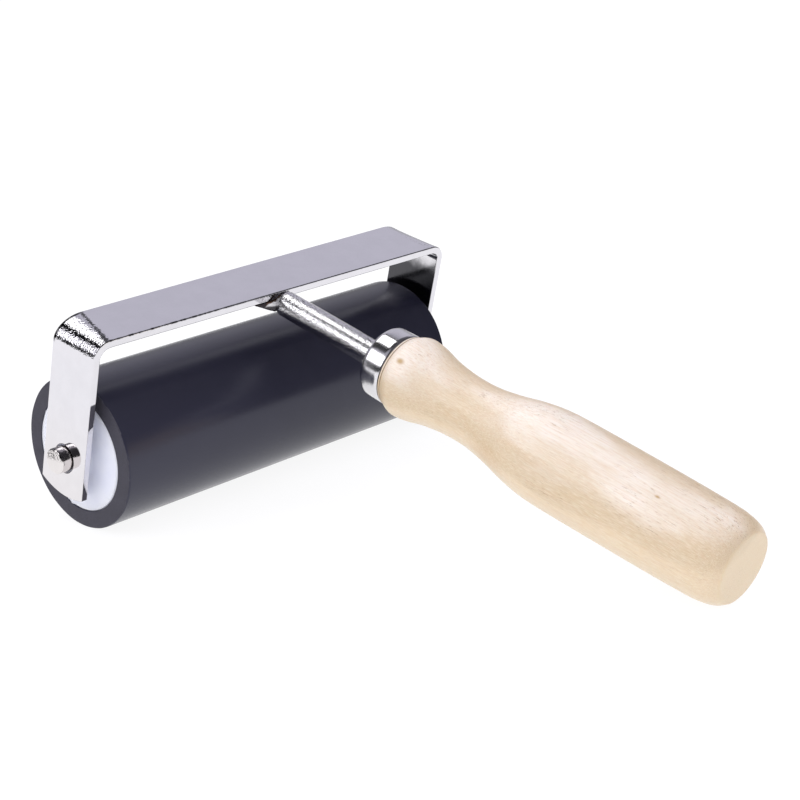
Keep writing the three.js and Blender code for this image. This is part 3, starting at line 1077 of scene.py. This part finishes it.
def floor_finish(n, p):
    """Pale and faintly mottled. It glows, so that it stays nearly white in the soft light."""
    mottle = n.noise(p, 0.02, 3.0)
    return {
        "Base Color": n.mix(n.step(mottle, 0.3, 0.7), rgb(0.13, 0.13, 0.14), rgb(0.15, 0.15, 0.16)),
        "Roughness": 0.9,
        "Specular IOR Level": 0.1,
        "Emission Color": rgb(1.0, 1.0, 1.0),
        "Emission Strength": 0.90,
    }


def pale_floor():
    half = 4000.0
    corners = [(-half, -half, 0), (half, -half, 0), (half, half, 0), (-half, half, 0)]
    finish = material("floor_pale", floor_finish)
    obj = build("floor", corners, [(0, 1, 2, 3)], Matrix.Identity(4), [finish])
    obj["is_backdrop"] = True


def direction(azimuth, elevation):
    """Unit vector from an angle round from +X and an angle above the horizon, in degrees."""
    a, e = math.radians(azimuth), math.radians(elevation)
    return Vector((math.cos(a) * math.cos(e), math.sin(a) * math.cos(e), math.sin(e)))


def studio_world():
    """Plain white to the eye, a soft fill for matt surfaces, and a grey room that metal mirrors.

    The room is lit behind and to the left, with a brighter patch high behind at the right. It is dark in
    front, along the foot of the far wall and round the softbox overhead.
    """
    world = bpy.data.worlds.new("studio")
    bpy.context.scene.world = world
    world.use_nodes = True
    n = Nodes(world.node_tree)
    ray = n.add("ShaderNodeTexCoord", out="Generated")
    _, _, up = n.split(ray)

    def towards(azimuth, elevation):
        """1 for a ray that goes in this direction, 0 for one square to it."""
        return n.vector("DOT_PRODUCT", ray, tuple(direction(azimuth, elevation)), out="Value")

    def patch(azimuth, elevation, inner, outer, inside, outside):
        """One level within an inner angle of a direction, and another beyond an outer angle."""
        inner_edge, outer_edge = math.cos(math.radians(inner)), math.cos(math.radians(outer))
        return n.step(towards(azimuth, elevation), outer_edge, inner_edge, outside, inside)

    back_wall = n.step(towards(110, -20), -0.20, -0.08, 0.14, 0.62)
    left_front = n.step(towards(225, 15), 0.55, 0.90, 1.0, 0.4)
    bright_patch = patch(40, 35, 13, 27, 1.0, 0.62)
    dark_surround = patch(101, 61, 23, 26, 0.03, 1.0)
    level = n.times(n.times(n.times(back_wall, left_front), bright_patch), dark_surround)
    skirting = n.times(n.step(up, 0.24, 0.29, 1.0, 0.0), n.step(towards(140, 0), 0.55, 0.80))
    higher = n.times(n.step(up, 0.33, 0.38, 1.0, 0.0), n.step(towards(112, 0), 0.90, 0.93))
    level = n.times(level, n.minus(1.0, n.times(n.larger(skirting, higher), 0.92)))

    tint = n.mix(n.step(up, -0.1, 0.5), rgb(1.0, 1.0, 1.03), rgb(0.96, 0.94, 1.08))
    fill_level = n.step(up, -0.1, 0.8, 0.62, 1.10)
    mirrored = n.add("ShaderNodeBackground", {"Color": tint, "Strength": level})
    fill = n.add("ShaderNodeBackground", {"Color": rgb(0.99, 0.97, 1.04), "Strength": fill_level})
    plain = n.add("ShaderNodeBackground", {"Color": rgb(1, 1, 1), "Strength": 1.0})
    seen = n.add("ShaderNodeLightPath", out="Is Camera Ray")
    matt = seen.node.outputs["Is Diffuse Ray"]
    lit = n.add("ShaderNodeMixShader", {0: matt, 1: mirrored, 2: fill})
    both = n.add("ShaderNodeMixShader", {0: seen, 1: lit, 2: plain})
    n.add("ShaderNodeOutputWorld", {"Surface": both})


def softbox(name, azimuth, elevation, distance, width, height, power):
    """A lit panel facing the brayer. Angles in degrees, sizes in metres, power in watts."""
    light = bpy.data.lights.new(name, "AREA")
    light.shape = "RECTANGLE"
    light.size = width
    light.size_y = height
    light.energy = power
    obj = bpy.data.objects.new(name, light)
    back = direction(azimuth, elevation)
    obj.location = axle_centre + back * distance
    obj.rotation_euler = (-back).to_track_quat("-Z", "Y").to_euler()
    bpy.context.scene.collection.objects.link(obj)


def camera():
    """Where the brayer is seen from: to the front left, a little above, with a slight roll."""
    from_axle = Vector((-276.685, -309.987, 129.547))
    look = Vector((0.69234, 0.65442, -0.30397)).normalized()
    roll = math.radians(-2.369)
    data = bpy.data.cameras.new("camera")
    data.sensor_width = 36.0
    data.lens = 83.47
    data.clip_start = 0.01
    data.clip_end = 50.0
    obj = bpy.data.objects.new("camera", data)
    obj.location = axle_centre + from_axle * MM
    obj.rotation_mode = "QUATERNION"
    obj.rotation_quaternion = look.to_track_quat("-Z", "Y") @ Quaternion((0, 0, 1), roll)
    bpy.context.scene.collection.objects.link(obj)
    bpy.context.scene.camera = obj


pale_floor()
studio_world()
softbox("softbox_top", 88, 66, 1.2, 0.52, 0.44, 2.2)
softbox("softbox_left", 156, 33, 1.2, 0.75, 0.62, 3.0)
camera()
bpy.context.scene.view_settings.view_transform = "Standard"

boxes = [[list(corner) for corner in box] for box in (cad_box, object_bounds())]
